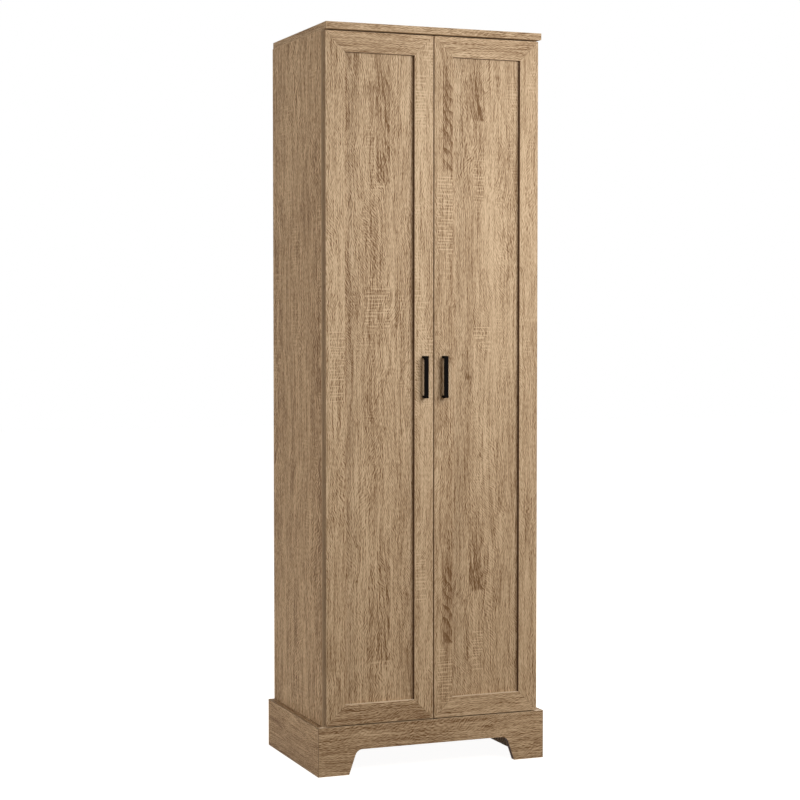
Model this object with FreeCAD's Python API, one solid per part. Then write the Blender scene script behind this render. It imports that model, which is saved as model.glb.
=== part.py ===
import FreeCAD, Part
import os

# Two-door broom cupboard of laminated board, in millimetres.
# Frame: X to the right, Y to the rear, Z up; the origin is under the middle of the overall box.

V = FreeCAD.Vector

# ---- driving dimensions: case -------------------------------------------------------
height = 1800.0
case_width = 564.0
case_depth = 374.0
board = 16.0
top_side_inset = 1.5
top_overhang = 31.0
bottom_overlap = 6.0
top_bay_height = 340.0
shelf_count = 3
shelf_setback = 18.0
shelf_side_gap = 2.0
back_thickness = 3.0
back_rebate_depth = 4.0
back_lap = 8.0
back_edge_gap = 0.5

# ---- driving dimensions: plinth -----------------------------------------------------
skirt_height = 119.0
skirt_thickness = 16.0
foot_width = 79.0
foot_slope = 20.7
arch_height = 60.0
arch_radius = 19.0
rail_height = 48.0
block_leg = 30.0
block_height = 44.0

# ---- driving dimensions: doors ------------------------------------------------------
door_thickness = 16.0
door_gap = 2.5
door_reveal = 4.0
door_top_gap = 3.0
door_bottom_gap = 3.0
meeting_gap = 3.0
frame_width = 49.0
rebate_width = 8.0
panel_thickness = 5.0
panel_edge_gap = 0.5
inner_arris = 1.0
outer_arris = 0.5

# ---- driving dimensions: handles ----------------------------------------------------
handle_centre_height = 958.0
handle_spacing = 96.0
handle_leg = 6.0
handle_width = 9.0
handle_bar_depth = 8.0
handle_projection = 20.0
handle_outer_radius = 1.2
handle_inner_radius = 2.0
handle_screw_radius = 2.0
handle_screw_reach = 8.0
handle_head_radius = 4.0
handle_head_height = 2.2

# ---- driving dimensions: hinges -----------------------------------------------------
hinge_count = 3
hinge_end_distance = 100.0
cup_radius = 17.5
cup_depth = 12.0
cup_wall = 1.2
cup_edge_distance = 3.0
flange_thickness = 1.2
flange_half_length = 30.0
flange_half_width = 7.0
flange_offset = 4.0
axis_inset = 5.8
axis_depth = 9.2
pin_radius = 1.0
pin_half_length = 6.2
ear_radius = 1.7
arm_thickness = 2.0
arm_half_width = 4.0
arm_stand_off = 4.0
arm_length = 62.0
arm_wing = 1.2
arm_wing_start = 8.0
slot_clearance = 1.2
plate_thickness = 2.0
plate_setback = 37.0
plate_half_length = 14.0
plate_half_width = 8.0
plate_wing_half_length = 6.0
plate_wing_half_width = 23.0

# ---- driving dimensions: fittings ---------------------------------------------------
hidden_sides = 8
face_sides = 12
fit_clearance = 0.05
running_clearance = 0.05
cam_radius = 7.5
cam_depth = 12.0
cam_distance = 34.0
cam_slot_width = 2.0
cam_slot_depth = 2.5
cam_pocket_width = 7.0
bolt_radius = 3.0
bolt_reach = 10.0
bolt_end_gap = 1.0
bolt_bore_clearance = 0.5
dowel_radius = 4.0
dowel_length = 30.0
dowel_face_depth = 10.0
joint_inset = 60.0
pin_row_inset = 60.0
pin_row_pitch = 32.0
pin_holes_per_shelf = 2
support_peg_radius = 2.5
support_peg_length = 8.0
support_peg_drop = 6.0
support_width = 10.0
support_height = 12.0
support_reach = 10.0
support_thickness = 1.5
confirmat_radius = 3.0
confirmat_sink = 34.0
confirmat_head_radius = 4.8
confirmat_head_depth = 2.0
bumper_radius = 3.0
bumper_inset = 8.0
bumper_thickness = 2.0

# ---- places worked out from the driving dimensions ----------------------------------
half_case = case_width / 2
inner_x = half_case - board
front_reach = door_gap + door_thickness + handle_projection
face_y = front_reach - (front_reach + case_depth) / 2
rear_y = face_y + case_depth
back_y = rear_y - back_rebate_depth
top_under = height - board
bottom_under = skirt_height - bottom_overlap
bottom_top = bottom_under + board
shelf_top = top_under - top_bay_height
shelf_under = shelf_top - board
half_partition = board / 2

door_back = face_y - door_gap
door_front = door_back - door_thickness
door_outer = half_case - door_reveal
door_inner = meeting_gap / 2
door_bottom = skirt_height + door_bottom_gap
door_top = top_under - door_top_gap
handle_x = door_inner + frame_width / 2
hinge_axis_x = door_outer - axis_inset
hinge_axis_y = door_back - axis_depth
cup_x = door_outer - cup_edge_distance - cup_radius
hinge_run = door_top - door_bottom - 2 * hinge_end_distance
hinge_heights = [
    door_bottom + hinge_end_distance + hinge_run * index / (hinge_count - 1) for index in range(hinge_count)
]
bay_height = (shelf_under - bottom_top - shelf_count * board) / (shelf_count + 1)
adjustable_unders = [bottom_top + bay_height + index * (bay_height + board) for index in range(shelf_count)]
joint_rows = [face_y + joint_inset, rear_y - joint_inset]
SIDES = {"left": -1, "right": 1}


def block(x_range, y_range, z_range):
    """A rectangular board between two corners, given in any order."""
    low = V(min(x_range), min(y_range), min(z_range))
    size = V(max(x_range), max(y_range), max(z_range)) - low
    return Part.makeBox(size.x, size.y, size.z, low)


def rod(start, direction, radius, length):
    """A round bar or bore from a point along a direction."""
    return Part.makeCylinder(radius, length, start, direction)


def faceted_rod(start, direction, radius, length, sides=hidden_sides):
    """A small rod or bore along X, Y or Z, drawn with a few flats: the same ones in a fitting and its bore."""
    across = V(direction.z, direction.x, direction.y)
    step = 360.0 / sides
    turns = [FreeCAD.Rotation(direction, step * (index + 0.5)) for index in range(sides)]
    return prism([start + turn.multVec(across * radius) for turn in turns], direction * length)


def prism(points, direction):
    """A straight-sided solid: a flat outline pushed along a direction."""
    return Part.Face(Part.makePolygon(points + [points[0]])).extrude(direction)


def bar_between(corner, length, width, depth):
    """A straight bar from one corner and its three edges, given as vectors."""
    return prism([corner, corner + length, corner + length + width, corner + width], depth)


def cut_all(shape, cutters):
    """The shape less every cutter."""
    return shape.cut(Part.makeCompound(cutters)) if cutters else shape


def handle_screw(head_point, direction):
    """A screw with a round head whose underside is at a point, and its shank along a direction."""
    head_start = head_point - direction * handle_head_height
    head = faceted_rod(head_start, direction, handle_head_radius, handle_head_height, face_sides)
    shank = faceted_rod(head_point, direction, handle_screw_radius, door_thickness + handle_screw_reach)
    return head.fuse(shank).removeSplitter()


# ---- joints between boards ----------------------------------------------------------
cams, bolts, dowels, confirmats = [], [], [], []
cuts = {}


def bore_in(node, cutter):
    """Notes a bore that a fitting needs in a board."""
    cuts.setdefault(node, []).append(cutter)


def cam_joint(cam_board, bolt_board, joint_point, into_bolt_board, face_point, into_face):
    """A cam lock in one board's face that draws a bolt in the next board across their joint."""
    centre = joint_point - into_bolt_board * cam_distance
    mouth = centre + into_face * (face_point - centre).dot(into_face)
    across = into_bolt_board.cross(into_face)
    bore_in(cam_board, faceted_rod(mouth, into_face, cam_radius + fit_clearance, cam_depth + fit_clearance,
                                   face_sides))
    bore_in(cam_board, faceted_rod(centre, into_bolt_board, bolt_radius + bolt_bore_clearance, cam_distance))
    bore_in(bolt_board, faceted_rod(joint_point, into_bolt_board, bolt_radius + fit_clearance,
                                    bolt_reach + fit_clearance))
    bolts.append(faceted_rod(centre + into_bolt_board * bolt_end_gap, into_bolt_board, bolt_radius,
                             cam_distance - bolt_end_gap + bolt_reach))
    slot_corner = mouth - into_bolt_board * cam_radius - across * (cam_slot_width / 2)
    slot = bar_between(slot_corner, into_bolt_board * (2 * cam_radius), across * cam_slot_width,
                       into_face * cam_slot_depth)
    pocket_corner = centre - (across + into_face) * (cam_pocket_width / 2)
    pocket = bar_between(pocket_corner, into_bolt_board * cam_radius, across * cam_pocket_width,
                         into_face * cam_pocket_width)
    cams.append(cut_all(faceted_rod(mouth, into_face, cam_radius, cam_depth, face_sides), [slot, pocket]))


def dowel_joint(face_board, end_board, joint_point, into_face_board):
    """A glued wooden dowel, shallow in one board's face and deep in the other board's end."""
    start = joint_point + into_face_board * dowel_face_depth
    bore_radius = dowel_radius + fit_clearance
    face_bore = dowel_face_depth + fit_clearance
    end_bore = dowel_length - dowel_face_depth + fit_clearance
    dowels.append(faceted_rod(start, into_face_board * -1, dowel_radius, dowel_length))
    bore_in(face_board, faceted_rod(joint_point, into_face_board, bore_radius, face_bore))
    bore_in(end_board, faceted_rod(joint_point, into_face_board * -1, bore_radius, end_bore))


def confirmat_joint(face_board, end_board, face_point, into_boards):
    """A board screw with a sunk head, through one board's face into the other board's end."""
    bore_radius = confirmat_radius + fit_clearance
    head = faceted_rod(face_point, into_boards, confirmat_head_radius, confirmat_head_depth)
    shank = faceted_rod(face_point, into_boards, confirmat_radius, board + confirmat_sink)
    confirmats.append(head.fuse(shank).removeSplitter())
    bore_in(face_board, faceted_rod(face_point, into_boards, bore_radius, board))
    bore_in(face_board, faceted_rod(face_point, into_boards, confirmat_head_radius + fit_clearance,
                                    confirmat_head_depth))
    bore_in(end_board, faceted_rod(face_point + into_boards * board, into_boards, bore_radius,
                                   confirmat_sink + fit_clearance))


UP = V(0, 0, 1)
REAR = V(0, 1, 0)
for side, sign in SIDES.items():
    panel = side + "_side_panel"
    outward = V(sign, 0, 0)
    mid_board_x = sign * (inner_x + board / 2)
    for row_y in joint_rows:
        cam_joint(panel, "top_panel", V(mid_board_x, row_y, top_under), UP,
                  V(sign * inner_x, row_y, top_under), outward)
        for node, underside in (("bottom_panel", bottom_under), ("fixed_shelf", shelf_under)):
            joint = V(sign * inner_x, row_y, underside + board / 2)
            cam_joint(node, panel, joint, outward, V(sign * inner_x, row_y, underside), UP)
    mid_y = (face_y + rear_y) / 2
    dowel_joint("top_panel", panel, V(mid_board_x, mid_y, top_under), UP)
    for node, underside in (("bottom_panel", bottom_under), ("fixed_shelf", shelf_under)):
        dowel_joint(panel, node, V(sign * inner_x, mid_y, underside + board / 2), outward)
    rail_z = bottom_under - rail_height / 2
    dowel_joint(panel, "front_plinth_rail", V(sign * inner_x, face_y + board / 2, rail_z), outward)
    dowel_joint(panel, "rear_plinth_rail", V(sign * inner_x, back_y - board / 2, rail_z), outward)
for row_y in joint_rows:
    confirmat_joint("bottom_panel", "centre_partition", V(0, row_y, bottom_under), UP)
    confirmat_joint("fixed_shelf", "centre_partition", V(0, row_y, shelf_top), UP * -1)


# ---- hinges -------------------------------------------------------------------------
def hinge_plates(sign):
    """Mounting plates: a winged plate with a raised rib that the arm sits on."""
    plates = []
    y_mid = face_y + plate_setback
    x_range = (sign * inner_x, sign * (inner_x - plate_thickness))
    rib_x = (sign * inner_x, sign * (inner_x - arm_stand_off))
    rib_half = arm_half_width - arm_wing
    plate_y = (y_mid - plate_half_length, y_mid + plate_half_length)
    wing_y = (y_mid - plate_wing_half_length, y_mid + plate_wing_half_length)
    for z in hinge_heights:
        plate = block(x_range, plate_y, (z - plate_half_width, z + plate_half_width))
        wing = block(x_range, wing_y, (z - plate_wing_half_width, z + plate_wing_half_width))
        rib = block(rib_x, plate_y, (z - rib_half, z + rib_half))
        plates.append(plate.fuse([wing, rib]).removeSplitter())
    return plates


def hinge_arms(sign):
    """Cranked arms: a channel over the plate, a riser into the cup, and a finger that ends in the pin."""
    arms = []
    near_x = inner_x - arm_stand_off
    far_x = near_x - arm_thickness
    finger_front = hinge_axis_y - pin_radius
    finger_rear = hinge_axis_y + pin_radius
    arm_end = face_y + arm_length
    for z in hinge_heights:
        outline = [
            V(sign * hinge_axis_x, finger_front, z - arm_half_width),
            V(sign * far_x, finger_front, z - arm_half_width),
            V(sign * far_x, arm_end, z - arm_half_width),
            V(sign * near_x, arm_end, z - arm_half_width),
            V(sign * near_x, finger_rear, z - arm_half_width),
            V(sign * hinge_axis_x, finger_rear, z - arm_half_width),
        ]
        strap = prism(outline, V(0, 0, 2 * arm_half_width))
        pin_foot = V(sign * hinge_axis_x, hinge_axis_y, z - pin_half_length)
        pin = rod(pin_foot, UP, pin_radius, 2 * pin_half_length)
        wings = [
            block((sign * (inner_x - plate_thickness), sign * near_x), (face_y + arm_wing_start, arm_end),
                  (z + edge * arm_half_width, z + edge * (arm_half_width - arm_wing + fit_clearance)))
            for edge in (-1, 1)
        ]
        arms.append(strap.fuse([pin] + wings).removeSplitter())
    return arms


def hinge_cups(sign):
    """Door cups: a round cup with a screw flange, ears for the pin and a slot for the swinging finger."""
    cups = []
    forward = V(0, -1, 0)
    for z in hinge_heights:
        centre = V(sign * cup_x, door_back, z)
        body = rod(centre, forward, cup_radius, cup_depth)
        cavity = rod(centre, forward, cup_radius - cup_wall, cup_depth - cup_wall)
        flange_x = sign * (cup_x - flange_offset)
        flange_top = door_back + flange_thickness
        flange = block((flange_x - flange_half_width, flange_x + flange_half_width),
                       (door_back, flange_top), (z - flange_half_length, z + flange_half_length))
        rim = rod(centre, REAR, cup_radius, flange_thickness)
        mouth = rod(centre, REAR, cup_radius - cup_wall, flange_thickness)
        ears = []
        for edge in (-1, 1):
            ear_z = z + edge * (arm_half_width + running_clearance)
            reach = pin_half_length - arm_half_width
            ear = block((sign * (hinge_axis_x - ear_radius), sign * (cup_x + cup_radius)),
                        (hinge_axis_y - ear_radius, hinge_axis_y + ear_radius), (ear_z, ear_z + edge * reach))
            ears.append(ear.common(body))
        slot_half = arm_half_width + slot_clearance
        slot = block((sign * hinge_axis_x, sign * (cup_x + cup_radius + cup_edge_distance)),
                     (hinge_axis_y + ear_radius, flange_top), (z - slot_half, z + slot_half))
        passage_half = arm_half_width + running_clearance
        passage = block((sign * hinge_axis_x, sign * (cup_x + cup_radius)),
                        (hinge_axis_y, hinge_axis_y + ear_radius), (z - passage_half, z + passage_half))
        bore = rod(V(sign * hinge_axis_x, hinge_axis_y, z - pin_half_length - running_clearance), UP,
                   pin_radius + running_clearance, 2 * (pin_half_length + running_clearance))
        shell = body.fuse([flange, rim]).cut(Part.makeCompound([cavity, mouth]))
        shell = shell.fuse(ears).removeSplitter()
        cups.append(cut_all(shell, [slot, passage, bore]))
    return cups


# ---- door frames --------------------------------------------------------------------
def frame_member(corner, along, across, length):
    """One mitred frame board: eased front arrises, a rear rebate for the panel, ends cut at 45 degrees."""
    front = V(0, -door_thickness, 0)
    section = [
        corner,
        corner + front + V(0, outer_arris, 0),
        corner + front + across * outer_arris,
        corner + front + across * (frame_width - inner_arris),
        corner + front + across * frame_width + V(0, inner_arris, 0),
        corner + across * frame_width + V(0, -panel_thickness, 0),
        corner + across * (frame_width - rebate_width) + V(0, -panel_thickness, 0),
        corner + across * (frame_width - rebate_width),
    ]
    member = prism(section, along * length)
    ends = []
    for end, inward in ((corner, along), (corner + along * length, along * -1)):
        start = end - V(0, -door_gap, 0)
        ends.append(prism([start, start + across * frame_width, start + (across + inward) * frame_width],
                          V(0, -door_thickness - 2 * door_gap, 0)))
    return cut_all(member, ends)


def door_nodes(side):
    """Every piece of one door, by node name."""
    sign = SIDES[side]
    name = side + "_door_"
    inward = V(-sign, 0, 0)
    width = door_outer - door_inner
    door_height = door_top - door_bottom
    outer_foot = V(sign * door_outer, door_back, door_bottom)
    inner_foot = V(sign * door_inner, door_back, door_bottom)
    outer_head = V(sign * door_outer, door_back, door_top)
    cup_bores = [
        rod(V(sign * cup_x, door_back, z), V(0, -1, 0), cup_radius + fit_clearance, cup_depth + fit_clearance)
        for z in hinge_heights
    ]
    handle_heights = [handle_centre_height - handle_spacing / 2, handle_centre_height + handle_spacing / 2]
    handle_bores = [
        faceted_rod(V(sign * handle_x, door_back, z), V(0, -1, 0), handle_screw_radius + fit_clearance,
                    door_thickness)
        for z in handle_heights
    ]
    panel_reach = frame_width - rebate_width + panel_edge_gap
    bumper_x = sign * (door_inner + bumper_inset)
    bumper_heights = [(door_bottom + bottom_top) / 2, shelf_under + board / 2]
    hinge_stile = frame_member(outer_foot, UP, inward, door_height)
    meeting_stile = frame_member(inner_foot, UP, inward * -1, door_height)
    return {
        name + "hinge_stile": [cut_all(hinge_stile, cup_bores)],
        name + "meeting_stile": [cut_all(meeting_stile, handle_bores)],
        name + "bottom_rail": [frame_member(outer_foot, inward, UP, width)],
        name + "top_rail": [frame_member(outer_head, inward, UP * -1, width)],
        name + "panel": [block((sign * (door_outer - panel_reach), sign * (door_inner + panel_reach)),
                               (door_back - panel_thickness, door_back),
                               (door_bottom + panel_reach, door_top - panel_reach))],
        name + "hinge_cups": hinge_cups(sign),
        name + "handle": [handle(sign, handle_heights)],
        name + "handle_screws": [
            handle_screw(V(sign * handle_x, door_back, z), V(0, -1, 0)) for z in handle_heights
        ],
        name + "bumpers": [
            faceted_rod(V(bumper_x, door_back, z), REAR, bumper_radius, bumper_thickness, face_sides)
            for z in bumper_heights
        ],
    }


def handle(sign, leg_heights):
    """A square bar pull: one bar with a leg at each end, rounded in the crook and on the outer corners."""
    low = leg_heights[0] - handle_leg / 2
    high = leg_heights[1] + handle_leg / 2
    x_range = (sign * handle_x - handle_width / 2, sign * handle_x + handle_width / 2)
    bar = block(x_range, (door_front, door_front - handle_projection), (low, high))
    crook = block(x_range, (door_front, door_front - handle_projection + handle_bar_depth),
                  (low + handle_leg, high - handle_leg))
    crook_edges = [
        edge for edge in crook.Edges
        if abs(edge.BoundBox.YMax - (door_front - handle_projection + handle_bar_depth)) < handle_inner_radius
        and edge.BoundBox.XLength > handle_width / 2
    ]
    crook = crook.makeFillet(handle_inner_radius, crook_edges)
    outer_edges = [
        edge for edge in bar.Edges
        if abs(edge.BoundBox.YMax - (door_front - handle_projection)) < handle_outer_radius
        and edge.BoundBox.XLength > handle_width / 2
    ]
    bar = bar.makeFillet(handle_outer_radius, outer_edges)
    taps = [
        faceted_rod(V(sign * handle_x, door_front, z), V(0, -1, 0), handle_screw_radius + fit_clearance,
                    handle_screw_reach + fit_clearance)
        for z in leg_heights
    ]
    return cut_all(bar, [crook] + taps)


# ---- case boards --------------------------------------------------------------------
def support_places():
    """Each row of shelf supports in the right bay: the wall's X, the way out of it, and the row's Y."""
    for wall_x, out in ((half_partition, 1), (inner_x, -1)):
        for row_y in (face_y + shelf_setback + pin_row_inset, rear_y - pin_row_inset):
            yield wall_x, out, row_y


for wall_x, out, row_y in support_places():
    wall_node = "centre_partition" if out > 0 else "right_side_panel"
    hole_radius = support_peg_radius + fit_clearance
    hole_depth = support_peg_length + fit_clearance
    for under in adjustable_unders:
        for step in range(pin_holes_per_shelf):
            hole_z = under - support_peg_drop + step * pin_row_pitch
            bore_in(wall_node, faceted_rod(V(wall_x, row_y, hole_z), V(-out, 0, 0), hole_radius, hole_depth))


def shelf_supports():
    """The pegged brackets that carry the loose shelves, four to a shelf."""
    supports = []
    for wall_x, out, row_y in support_places():
        y_range = (row_y - support_width / 2, row_y + support_width / 2)
        for under in adjustable_unders:
            peg = faceted_rod(V(wall_x, row_y, under - support_peg_drop), V(-out, 0, 0),
                              support_peg_radius, support_peg_length)
            wall = block((wall_x, wall_x + out * support_thickness), y_range, (under - support_height, under))
            seat = block((wall_x, wall_x + out * support_reach), y_range, (under - support_thickness, under))
            supports.append(peg.fuse([wall, seat]).removeSplitter())
    return supports


def case_boards():
    """The boards of the case, before their bores."""
    rebate_z = (bottom_under, top_under)
    boards = {}
    for side, sign in SIDES.items():
        panel = block((sign * inner_x, sign * half_case), (face_y, rear_y), (0, top_under))
        rebate = block((sign * inner_x, sign * (inner_x + back_lap)), (back_y, rear_y), rebate_z)
        boards[side + "_side_panel"] = panel.cut(rebate)
    half_top = half_case - top_side_inset
    top = block((-half_top, half_top), (face_y - top_overhang, rear_y), (top_under, height))
    boards["top_panel"] = top.cut(block((-inner_x - back_lap, inner_x + back_lap), (back_y, rear_y),
                                        (top_under, top_under + back_lap)))
    boards["bottom_panel"] = block((-inner_x, inner_x), (face_y, back_y), (bottom_under, bottom_top))
    boards["fixed_shelf"] = block((-inner_x, inner_x), (face_y, back_y), (shelf_under, shelf_top))
    boards["centre_partition"] = block((-half_partition, half_partition), (face_y, back_y),
                                       (bottom_top, shelf_under))
    boards["front_plinth_rail"] = block((-inner_x, inner_x), (face_y, face_y + board),
                                        (bottom_under - rail_height, bottom_under))
    boards["rear_plinth_rail"] = block((-inner_x, inner_x), (back_y - board, back_y),
                                       (bottom_under - rail_height, bottom_under))
    for index, under in enumerate(adjustable_unders):
        boards["adjustable_shelf_" + str(index + 1)] = block(
            (half_partition + shelf_side_gap, inner_x - shelf_side_gap),
            (face_y + shelf_setback, back_y), (under, under + board))
    return boards


def back_sheets():
    """The two hardboard back sheets, set into the rebates and meeting on the fixed shelf."""
    half_back = inner_x + back_lap - back_edge_gap
    seam = shelf_under + board / 2
    sheet_y = (back_y, back_y + back_thickness)
    return {
        "back_sheet_lower": block((-half_back, half_back), sheet_y, (bottom_under, seam)),
        "back_sheet_upper": block((-half_back, half_back), sheet_y,
                                  (seam, top_under + back_lap - back_edge_gap)),
    }


# ---- plinth skirt -------------------------------------------------------------------
def front_skirt():
    """The front skirt: mitred ends and a low arch with sloping, rounded shoulders between two feet."""
    half = half_case + skirt_thickness
    front = face_y - skirt_thickness
    outline = [V(-half, front, 0), V(half, front, 0), V(half_case, face_y, 0), V(-half_case, face_y, 0)]
    skirt = prism(outline, V(0, 0, skirt_height))
    foot_x = half - foot_width
    crown_x = foot_x - foot_slope
    arch = prism([V(-foot_x, front, 0), V(foot_x, front, 0), V(crown_x, front, arch_height),
                  V(-crown_x, front, arch_height)], V(0, skirt_thickness, 0))
    shoulders = [
        edge for edge in arch.Edges
        if edge.BoundBox.YLength > skirt_thickness / 2 and edge.BoundBox.ZMin > arch_height / 2
    ]
    return skirt.cut(arch.makeFillet(arch_radius, shoulders))


def side_skirt(sign):
    """A plain side skirt, mitred to the front one."""
    half = half_case + skirt_thickness
    outline = [V(sign * half, face_y - skirt_thickness, 0), V(sign * half, rear_y, 0),
               V(sign * half_case, rear_y, 0), V(sign * half_case, face_y, 0)]
    return prism(outline, V(0, 0, skirt_height))


def corner_blocks():
    """Three-cornered blocks that tie the side panels to the front skirt and to the rear rail."""
    blocks = []
    places = (
        (face_y, 1, bottom_under - rail_height - block_height),
        (back_y - board, -1, bottom_under - block_height),
    )
    for sign in SIDES.values():
        for y, inward, z in places:
            corner = V(sign * inner_x, y, z)
            along_x = V(-sign * block_leg, 0, 0)
            along_y = V(0, inward * block_leg, 0)
            blocks.append(prism([corner, corner + along_x, corner + along_y], UP * block_height))
    return blocks


# ---- assembly -----------------------------------------------------------------------
nodes = {}
for side, sign in SIDES.items():
    nodes[side + "_hinge_plates"] = hinge_plates(sign)
    nodes[side + "_hinge_arms"] = hinge_arms(sign)
    nodes[side + "_skirt"] = [side_skirt(sign)]
    nodes.update(door_nodes(side))
nodes["front_skirt"] = [front_skirt()]
nodes["corner_blocks"] = corner_blocks()
nodes["shelf_supports"] = shelf_supports()
nodes["cam_locks"] = cams
nodes["cam_bolts"] = bolts
nodes["dowels"] = dowels
nodes["partition_screws"] = confirmats
for name, shape in list(case_boards().items()) + list(back_sheets().items()):
    nodes[name] = [shape]
for name, cutters in cuts.items():
    nodes[name] = [cut_all(nodes[name][0], cutters)]

os.makedirs("parts", exist_ok=True)
for name, solids in nodes.items():
    shape = solids[0] if len(solids) == 1 else Part.makeCompound(solids)
    if not shape.isValid():
        raise ValueError(name + " is not a valid shape")
    shape.exportStep("parts/" + name + ".step")
    print(name, len(shape.Solids), round(shape.Volume))
box = Part.makeCompound([solid for solids in nodes.values() for solid in solids]).BoundBox
print("box", box.XMin, box.XMax, box.YMin, box.YMax, box.ZMin, box.ZMax)
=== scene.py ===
import math
from collections import namedtuple
from functools import partial, partialmethod

import bmesh
import bpy
from bpy.props import FloatProperty, FloatVectorProperty, IntProperty, PointerProperty
from bpy.types import Operator, Panel, PropertyGroup
from mathutils import Matrix, Vector


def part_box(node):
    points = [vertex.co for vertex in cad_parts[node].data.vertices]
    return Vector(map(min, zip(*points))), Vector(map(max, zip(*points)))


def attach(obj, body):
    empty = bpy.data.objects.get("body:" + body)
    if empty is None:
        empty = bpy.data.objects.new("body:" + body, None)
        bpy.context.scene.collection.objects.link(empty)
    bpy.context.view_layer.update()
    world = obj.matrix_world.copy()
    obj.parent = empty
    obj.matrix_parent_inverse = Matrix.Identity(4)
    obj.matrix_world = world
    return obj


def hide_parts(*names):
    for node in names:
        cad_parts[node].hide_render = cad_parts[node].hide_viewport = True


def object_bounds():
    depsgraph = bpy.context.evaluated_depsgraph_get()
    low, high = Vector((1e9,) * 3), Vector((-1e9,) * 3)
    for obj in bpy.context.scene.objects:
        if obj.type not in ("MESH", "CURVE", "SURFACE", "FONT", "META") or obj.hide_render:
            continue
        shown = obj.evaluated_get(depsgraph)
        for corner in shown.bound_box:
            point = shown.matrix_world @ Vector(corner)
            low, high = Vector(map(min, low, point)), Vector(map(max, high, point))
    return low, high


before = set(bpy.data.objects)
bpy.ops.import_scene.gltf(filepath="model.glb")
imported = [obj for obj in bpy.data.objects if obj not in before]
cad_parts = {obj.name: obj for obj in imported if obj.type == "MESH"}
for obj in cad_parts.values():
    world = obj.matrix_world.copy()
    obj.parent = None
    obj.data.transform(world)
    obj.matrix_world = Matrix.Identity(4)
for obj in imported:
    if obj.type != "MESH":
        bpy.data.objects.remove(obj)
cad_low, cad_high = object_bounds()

bl_info = {
    "name": "Broom Cupboard Finishes",
    "version": (1, 0, 0),
    "blender": (4, 5, 0),
    "location": "3D View > Sidebar > Cupboard",
    "description": "Oak print, metal finishes, small fasteners and a studio for a two-door broom cupboard",
    "category": "Object",
}

MM = 0.001
SIDES = {"left": -1, "right": 1}
REARWARD = Vector((0, 1, 0))
ARRIS = 1.3 * MM
FACE_REACH = 0.3 * MM
MITRE_LINE = 0.9 * MM
PATCH_SOFTNESS = 8 * MM
FIGURE_FADE = 110 * MM
SHARP_ANGLE = math.radians(35)
FLOOR_PAINT = Vector((0.47, 0.405, 0.32))
FLOOR_REACH = 14


def shown(red, green, blue):
    """A colour as a screen shows it, from 0 to 255, as the linear colour that Blender keeps."""
    def linear(value):
        share = value / 255
        return share / 12.92 if share <= 0.04045 else ((share + 0.055) / 1.055) ** 2.4
    return linear(red), linear(green), linear(blue), 1.0


# ---- places taken from the frame
def joined_box(*nodes):
    """The lowest and highest corner of several nodes together."""
    boxes = [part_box(node) for node in nodes]
    low = Vector(min(box[0][axis] for box in boxes) for axis in range(3))
    high = Vector(max(box[1][axis] for box in boxes) for axis in range(3))
    return low, high


def door_members(side):
    """The node names of one door's four frame boards."""
    return [side + "_door_" + part for part in ("hinge_stile", "meeting_stile", "top_rail", "bottom_rail")]


# ---- sizes and colours that a user may change
Colour = partial(FloatVectorProperty, subtype="COLOR", size=4, min=0, max=1)
Tint = partial(FloatVectorProperty, subtype="COLOR", size=3, min=0, max=1)
Place = partial(FloatVectorProperty, subtype="TRANSLATION", unit="LENGTH")
Length = partial(FloatProperty, unit="LENGTH", min=0)
Angle = partial(FloatProperty, subtype="ANGLE")
Power = partial(FloatProperty, unit="POWER", min=0)
Share = partial(FloatProperty, subtype="FACTOR", min=0, max=1)


class CupboardOak(PropertyGroup):
    light: Colour(name="Light", description="Palest tone of the oak print", default=shown(214, 189, 157))
    middle: Colour(name="Middle", description="Mean tone of the oak print", default=shown(178, 151, 120))
    dark: Colour(name="Dark", description="Tone of the pores and growth lines", default=shown(118, 88, 59))
    # Painted shade: this colour darkens the inner faces of the door reveals, the left door's outer edge, the
    # ends of the top panel, the skirt's cut faces and corner, and dark arrises. The doors' dark mitre joint
    # lines use it too.
    shade: Colour(
        name="Shade", description="Tone of the faces inside the door frames", default=shown(60, 35, 21))
    # Painted light: this colour lightens the front edges of the side panels and the bottom panel, the front
    # skirt's top face and the faces of the doors' bottom rails.
    edge: Colour(name="Edge", description="Tone of the pale edging", default=shown(222, 203, 177))
    streak_width: Length(name="Streak Width", description="Width of a fibre streak", default=2.8 * MM)
    streak_length: Length(name="Streak Length", description="Length of a fibre streak", default=130 * MM)
    fleck_spacing: Length(
        name="Fleck Spacing", description="Distance across the grain between pore flecks", default=4.6 * MM)
    fleck_length: Length(name="Fleck Length", description="Length of a pore fleck", default=7.5 * MM)
    strip_width: Length(name="Strip Width", description="Width of one printed strip", default=31 * MM)
    strip_length: Length(name="Strip Length", description="Length of one printed strip", default=340 * MM)
    band_width: Length(name="Band Width", description="Width of a broad tone band", default=46 * MM)
    print_length: Length(
        name="Print Length", description="Length of the print before it comes back", default=1155 * MM)
    saw_pitch: Length(name="Saw Pitch", description="Mean distance between two saw marks", default=8 * MM)
    roughness: Share(name="Roughness", description="Roughness of the laminate", default=0.6)


class CupboardMetal(PropertyGroup):
    nickel: Colour(name="Nickel", description="Colour of the plated hinges", default=(0.66, 0.64, 0.61, 1))
    zinc: Colour(name="Zinc", description="Colour of the cast cam locks", default=(0.5, 0.5, 0.51, 1))
    black: Colour(name="Black", description="Colour of the coated pulls", default=(0.0035, 0.003, 0.003, 1))
    screw_segments: IntProperty(
        name="Screw Segments", description="Faces round a screw head", default=24, min=12, max=64)
    nail_pitch: Length(
        name="Nail Pitch", description="Distance between two nails of the back sheets", default=110 * MM)


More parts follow.
